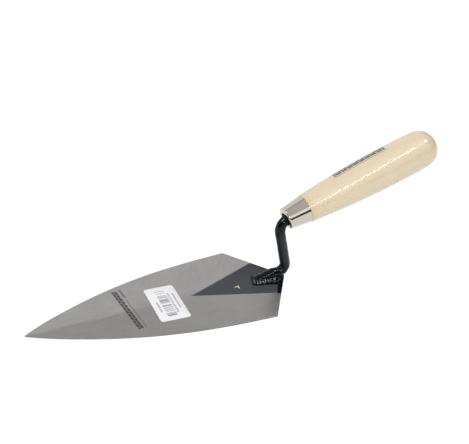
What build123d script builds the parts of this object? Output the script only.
"""Brick trowel: a welded steel blade and tang, a plated ferrule and a turned wooden handle.

Millimetres. +Z is up, the blade lies flat with its underside on Z = 0, its tip points to -X and the
handle rises towards +X. The tool is symmetric about Y = 0, apart from its paper label. While it is
modelled, X = 0 is the heel point of the blade. At the end every piece moves along X together, so
that the origin is at the bottom centre of the whole tool.
"""

from build123d import *
import os
from math import atan, cos, radians, sin, tan

os.makedirs("parts", exist_ok=True)

# Blade: a 10 in by 4 1/2 in plate, ground thinner towards the tip
BLADE_LENGTH = 254.0
BLADE_WIDTH = 114.3
SHOULDER_BACK = 39.2  # from the heel point forward to the widest place
HEEL_THICKNESS = 1.3
TIP_THICKNESS = 0.9
TIP_RADIUS = 0.8
SHOULDER_RADIUS = 1.2
# Bowed side: (share of the way from the tip to the shoulder, share of the half width there)
SIDE_BOW = ((0.08, 0.172), (0.22, 0.411), (0.40, 0.653), (0.60, 0.837), (0.80, 0.942))
HEEL_BORDER = 7.5  # length on the centre line of the rolled-down border along the heel edges
HEEL_DROP = 0.8  # how far that border falls by the heel point

# Handle and ferrule share one straight axis, which rises from the blade
HANDLE_RISE = 18.3  # degrees
FERRULE_BACK_X = 15.8  # centre of the ferrule's back edge
FERRULE_BACK_Z = 70.6
FERRULE_LENGTH = 22.0
FERRULE_FRONT_RADIUS = 10.5
FERRULE_BACK_RADIUS = 13.35
FERRULE_WALL = 0.9
FERRULE_MOUTH_RADIUS = 6.2
FERRULE_NOSE_ROUND = 1.7
LIP_ROUND = 0.4

# Turned handle, measured from its shoulder at the ferrule's back edge
HANDLE_LENGTH = 147.4
SHOULDER_STEP_RADIUS = 13.85
STEP_ROUND = 0.4
# (distance from the shoulder, radius), as the belly swells and falls again before the dome
BELLY = ((9.0, 14.6), (30.0, 16.4), (60.0, 18.15), (95.0, 19.05))
DOME_LENGTH = 19.5
DOME_RADIUS = 18.6
DOME_POWER = 2.2  # 2 is an ellipse; more is blunter
TENON_SETBACK = 2.4  # end of the tenon, behind the ferrule's mouth
COUNTERSINK_RADIUS = 7.2
COUNTERSINK_DEPTH = 12.0  # measured from the ferrule's mouth
BORE_EXTRA = 3.0  # the bore is this much deeper than the spike

# Tang: one rod, bent three times, with a flattened foot and a tapered spike
ROD_RADIUS = 5.0
SHANK_LEAN = 13.5  # degrees, towards the blade's tip
SHANK_X = -5.35  # a point on the shank's straight middle
SHANK_Z = 33.35
FOOT_BEND_RADIUS = 7.5
NECK_BEND_RADIUS = 13.0
ENTRY_BEND_RADIUS = 10.0
ENTRY_RISE = 45.0  # degrees, the slope of the rod as it goes in at the ferrule's mouth
ENTRY_OFFSET = 1.4  # the rod crosses the mouth this far below its centre
ROD_START_X = -14.0
ROD_BEDDING = 0.4  # depth of the weld seat ground on the rod's underside
FOOT_NOSE_X = -35.5
FOOT_NOSE_HEIGHT = 4.4  # above the blade
FOOT_NOSE_HALF_WIDTH = 5.0
FOOT_NOSE_HALF_HEIGHT = 3.2
SPIKE_LENGTH = 78.0
SPIKE_TIP_RADIUS = 2.5

# Fillet welds along both sides of the foot
WELD_RADIUS = 4.0
WELD_OFFSET = 4.9  # from the centre line
WELD_FRONT_X = -33.0
WELD_BACK_X = -12.0

# Paper label
LABEL_LENGTH = 28.3
LABEL_WIDTH = 52.5
LABEL_THICKNESS = 0.15
LABEL_X = -123.5
LABEL_Y = -1.4
LABEL_TURN = -3.4  # degrees
LABEL_CORNER = 3.0

half_width = BLADE_WIDTH / 2
shoulder_x = -SHOULDER_BACK
taper = atan((HEEL_THICKNESS - TIP_THICKNESS) / BLADE_LENGTH)
blade_top = Plane(
    origin=(0, 0, HEEL_THICKNESS),
    x_dir=(cos(taper), 0, sin(taper)),
    z_dir=(-sin(taper), 0, cos(taper)),
)
rise = radians(HANDLE_RISE)
handle_axis = Vector(cos(rise), 0, sin(rise))
ferrule_back = Vector(FERRULE_BACK_X, 0, FERRULE_BACK_Z)
ferrule_mouth = ferrule_back - handle_axis * FERRULE_LENGTH
# Local frame of the turned pieces: Z runs along the handle, from the ferrule's mouth
turning = Plane(origin=ferrule_mouth, x_dir=(0, 1, 0), z_dir=handle_axis)
ferrule_slope = (FERRULE_BACK_RADIUS - FERRULE_FRONT_RADIUS) / FERRULE_LENGTH
rod_height = HEEL_THICKNESS + ROD_RADIUS - ROD_BEDDING
BIG = 1200.0


def above(plane):
    """A block that fills everything on the plane's positive side."""
    return plane * Box(BIG, BIG, BIG, align=(Align.CENTER, Align.CENTER, Align.MIN))


def top_height(x):
    """Height of the blade's ground top face at x."""
    return HEEL_THICKNESS + x * tan(taper)


def ferrule_bore_radius(along):
    """Inside radius of the ferrule at a distance behind its mouth."""
    return FERRULE_FRONT_RADIUS - FERRULE_WALL + ferrule_slope * along


def blade_outline():
    """Kite with bowed sides: a sharp tip, two shoulders and a shallow point at the heel."""
    run = BLADE_LENGTH - SHOULDER_BACK
    tip = (-BLADE_LENGTH, 0)
    shoulder = (shoulder_x, half_width)
    bow = [(-BLADE_LENGTH + share * run, width * half_width) for share, width in SIDE_BOW]
    side = Spline(tip, *bow, shoulder)
    heel = Line(shoulder, (0, 0))
    edges = Curve() + [side, heel, mirror(heel, Plane.XZ), mirror(side, Plane.XZ)]
    outline = make_face(edges)
    corners = outline.vertices().sort_by(Axis.X)
    outline = fillet(corners[0], TIP_RADIUS)
    shoulders = [v for v in outline.vertices() if abs(v.Y) > 0.9 * half_width]
    return fillet(shoulders, SHOULDER_RADIUS)


def heel_border_plane(side):
    """The plane that rolls the top face down along one heel edge, from nothing at the shoulder."""
    at_shoulder = Vector(shoulder_x, side * half_width, top_height(shoulder_x))
    at_centre = Vector(-HEEL_BORDER, 0, top_height(-HEEL_BORDER))
    at_heel = Vector(0, 0, HEEL_THICKNESS - HEEL_DROP)
    normal = (at_centre - at_shoulder).cross(at_heel - at_shoulder)
    if normal.Z < 0:
        normal = normal * -1
    return Plane(origin=at_heel, z_dir=normal)


def make_blade():
    plate = extrude(blade_outline(), HEEL_THICKNESS)
    plate -= above(blade_top)
    for side in (1, -1):
        plate -= above(heel_border_plane(side))
    return plate


def crossing(point_a, angle_a, point_b, angle_b):
    """Where two lines in the XZ plane meet, each given by a point and a slope in degrees."""
    ax, az = cos(radians(angle_a)), sin(radians(angle_a))
    bx, bz = cos(radians(angle_b)), sin(radians(angle_b))
    gap = point_b - point_a
    along = (gap.X * bz - gap.Z * bx) / (ax * bz - az * bx)
    return point_a + Vector(ax, 0, az) * along


def rod_path():
    """Centre line of the tang's round rod, from the foot to where its spike starts."""
    down = Vector(sin(rise), 0, -cos(rise))
    start = Vector(ROD_START_X, 0, rod_height)
    shank = Vector(SHANK_X, 0, SHANK_Z)
    shank_slope = 90 + SHANK_LEAN
    entry = ferrule_mouth + down * ENTRY_OFFSET
    foot_corner = crossing(start, 0, shank, shank_slope)
    neck_corner = crossing(shank, shank_slope, entry, ENTRY_RISE)
    entry_corner = crossing(entry, ENTRY_RISE, ferrule_mouth, HANDLE_RISE)
    end = ferrule_mouth + handle_axis * COUNTERSINK_DEPTH
    bends = (FOOT_BEND_RADIUS, NECK_BEND_RADIUS, ENTRY_BEND_RADIUS)
    return FilletPolyline(start, foot_corner, neck_corner, entry_corner, end, radius=bends)


def make_foot():
    """The flattened end of the rod, which narrows in height from the round rod to a blunt nose."""
    across = (0, 1, 0)
    round_end = Plane(origin=(ROD_START_X, 0, rod_height), x_dir=across, z_dir=(-1, 0, 0))
    nose_height = HEEL_THICKNESS + FOOT_NOSE_HEIGHT - FOOT_NOSE_HALF_HEIGHT
    nose = Plane(origin=(FOOT_NOSE_X, 0, nose_height), x_dir=across, z_dir=(-1, 0, 0))
    flat_end = nose * Ellipse(FOOT_NOSE_HALF_WIDTH, FOOT_NOSE_HALF_HEIGHT)
    return loft([round_end * Circle(ROD_RADIUS), flat_end])


def make_spike():
    """The tapered end that is driven into the handle."""
    cone = Cone(
        ROD_RADIUS,
        SPIKE_TIP_RADIUS,
        SPIKE_LENGTH,
        align=(Align.CENTER, Align.CENTER, Align.MIN),
    )
    return turning * Pos(0, 0, COUNTERSINK_DEPTH) * cone


def make_tang(blade):
    path = rod_path()
    rod = sweep(Plane(origin=path @ 0, z_dir=path % 0) * Circle(ROD_RADIUS), path=path)
    tang = rod + make_foot() + make_spike()
    return tang - blade - below_blade_top()


def below_blade_top():
    """Everything under the blade's top face and its rolled-down heel border, as one block."""
    block = Box(BIG, BIG, BIG, align=(Align.CENTER, Align.CENTER, Align.MAX))
    return Pos(0, 0, HEEL_THICKNESS - HEEL_DROP) * block


def make_weld(side, blade, tang):
    """A fillet weld: a round-ended bead that fills the corner between the foot and the blade."""
    length = WELD_BACK_X - WELD_FRONT_X
    middle = (WELD_FRONT_X + WELD_BACK_X) / 2
    bead = Rot(0, 90, 0) * Cylinder(WELD_RADIUS, length)
    for end in (-1, 1):
        bead += Pos(end * length / 2, 0, 0) * Sphere(WELD_RADIUS)
    bead = Pos(middle, side * WELD_OFFSET, HEEL_THICKNESS) * bead
    return bead - blade - tang - below_blade_top()


def make_ferrule():
    """A tapered cup, open at the back, whose front is turned in to a rounded lip."""
    outer_front = (FERRULE_FRONT_RADIUS, 0)
    outer_back = (FERRULE_BACK_RADIUS, FERRULE_LENGTH)
    inner_back = (ferrule_bore_radius(FERRULE_LENGTH), FERRULE_LENGTH)
    inner_front = (ferrule_bore_radius(FERRULE_WALL), FERRULE_WALL)
    lip_inside = (FERRULE_MOUTH_RADIUS, FERRULE_WALL)
    lip_outside = (FERRULE_MOUTH_RADIUS, 0)
    wall = make_face(
        Polyline(
            outer_front, outer_back, inner_back, inner_front, lip_inside, lip_outside, close=True
        )
    )
    wall = fillet(nearest(wall, outer_front), FERRULE_NOSE_ROUND)
    wall = fillet(nearest(wall, inner_front), FERRULE_NOSE_ROUND - FERRULE_WALL)
    for corner in (lip_inside, lip_outside):
        wall = fillet(nearest(wall, corner), LIP_ROUND)
    return turning * revolve(Plane.XZ * wall, Axis.Z)


def nearest(face, point):
    """The face's vertex nearest to a 2-D point."""
    target = Vector(point[0], point[1], 0)
    return min(face.vertices(), key=lambda v: (Vector(v.X, v.Y, 0) - target).length)


def make_handle():
    """A turned handle: a tenon inside the ferrule, a shoulder, a long belly and a domed butt."""
    shoulder = FERRULE_LENGTH
    dome_start = shoulder + HANDLE_LENGTH - DOME_LENGTH
    tenon_front = (ferrule_bore_radius(TENON_SETBACK), TENON_SETBACK)
    tenon_back = (ferrule_bore_radius(shoulder), shoulder)
    step = (SHOULDER_STEP_RADIUS, shoulder)
    belly_points = [(radius, shoulder + along) for along, radius in BELLY]
    tenon = Polyline((0, TENON_SETBACK), tenon_front, tenon_back, step)
    belly = Spline(
        step,
        *belly_points,
        (DOME_RADIUS, dome_start),
        tangents=((0.1, 1), (0, 1)),
    )
    bulge = 2 / DOME_POWER
    dome_points = [
        (DOME_RADIUS * cos(angle) ** bulge, dome_start + DOME_LENGTH * sin(angle) ** bulge)
        for angle in (radians(20), radians(40), radians(60), radians(76))
    ]
    butt = (0, dome_start + DOME_LENGTH)
    dome = Spline((DOME_RADIUS, dome_start), *dome_points, butt, tangents=((0, 1), (-1, 0)))
    axis = Line(butt, (0, TENON_SETBACK))
    profile = make_face(Curve() + [tenon, belly, dome, axis])
    profile = fillet(nearest(profile, step), STEP_ROUND)
    wood = revolve(Plane.XZ * profile, Axis.Z)
    return turning * (wood - spike_bore())


def spike_bore():
    """A countersunk, tapered blind hole along the handle's axis, in the turned pieces' frame."""
    low = (Align.CENTER, Align.CENTER, Align.MIN)
    narrowing = (ROD_RADIUS - SPIKE_TIP_RADIUS) / SPIKE_LENGTH
    end_radius = SPIKE_TIP_RADIUS - narrowing * BORE_EXTRA
    sink_depth = COUNTERSINK_DEPTH - TENON_SETBACK
    sink = Pos(0, 0, TENON_SETBACK) * Cone(COUNTERSINK_RADIUS, ROD_RADIUS, sink_depth, align=low)
    bore = Cone(ROD_RADIUS, end_radius, SPIKE_LENGTH + BORE_EXTRA, align=low)
    return sink + Pos(0, 0, COUNTERSINK_DEPTH) * bore


def make_label():
    """A paper rectangle with rounded corners, flat on the blade's top face."""
    sheet = extrude(RectangleRounded(LABEL_LENGTH, LABEL_WIDTH, LABEL_CORNER), LABEL_THICKNESS)
    return blade_top * Pos(LABEL_X, LABEL_Y, 0) * Rot(0, 0, LABEL_TURN) * sheet


def build():
    blade = make_blade()
    tang = make_tang(blade)
    return {
        "blade": blade,
        "tang": tang,
        "weld_bead_left": make_weld(1, blade, tang),
        "weld_bead_right": make_weld(-1, blade, tang),
        "ferrule": make_ferrule(),
        "handle": make_handle(),
        "label": make_label(),
    }


pieces = build()
extent = Compound(children=[Compound(p.solids()) for p in pieces.values()]).bounding_box()
to_bottom_centre = Pos(-(extent.min.X + extent.max.X) / 2, 0, 0)
for name, piece in pieces.items():
    placed = to_bottom_centre * piece
    export_step(placed, f"parts/{name}.step")
    box = placed.bounding_box()
    print(f"{name}: {len(placed.solids())} solid, {placed.volume:.1f} mm3, {box.min} to {box.max}")
print("whole tool", extent.size, "heel point now at X =", -(extent.min.X + extent.max.X) / 2)
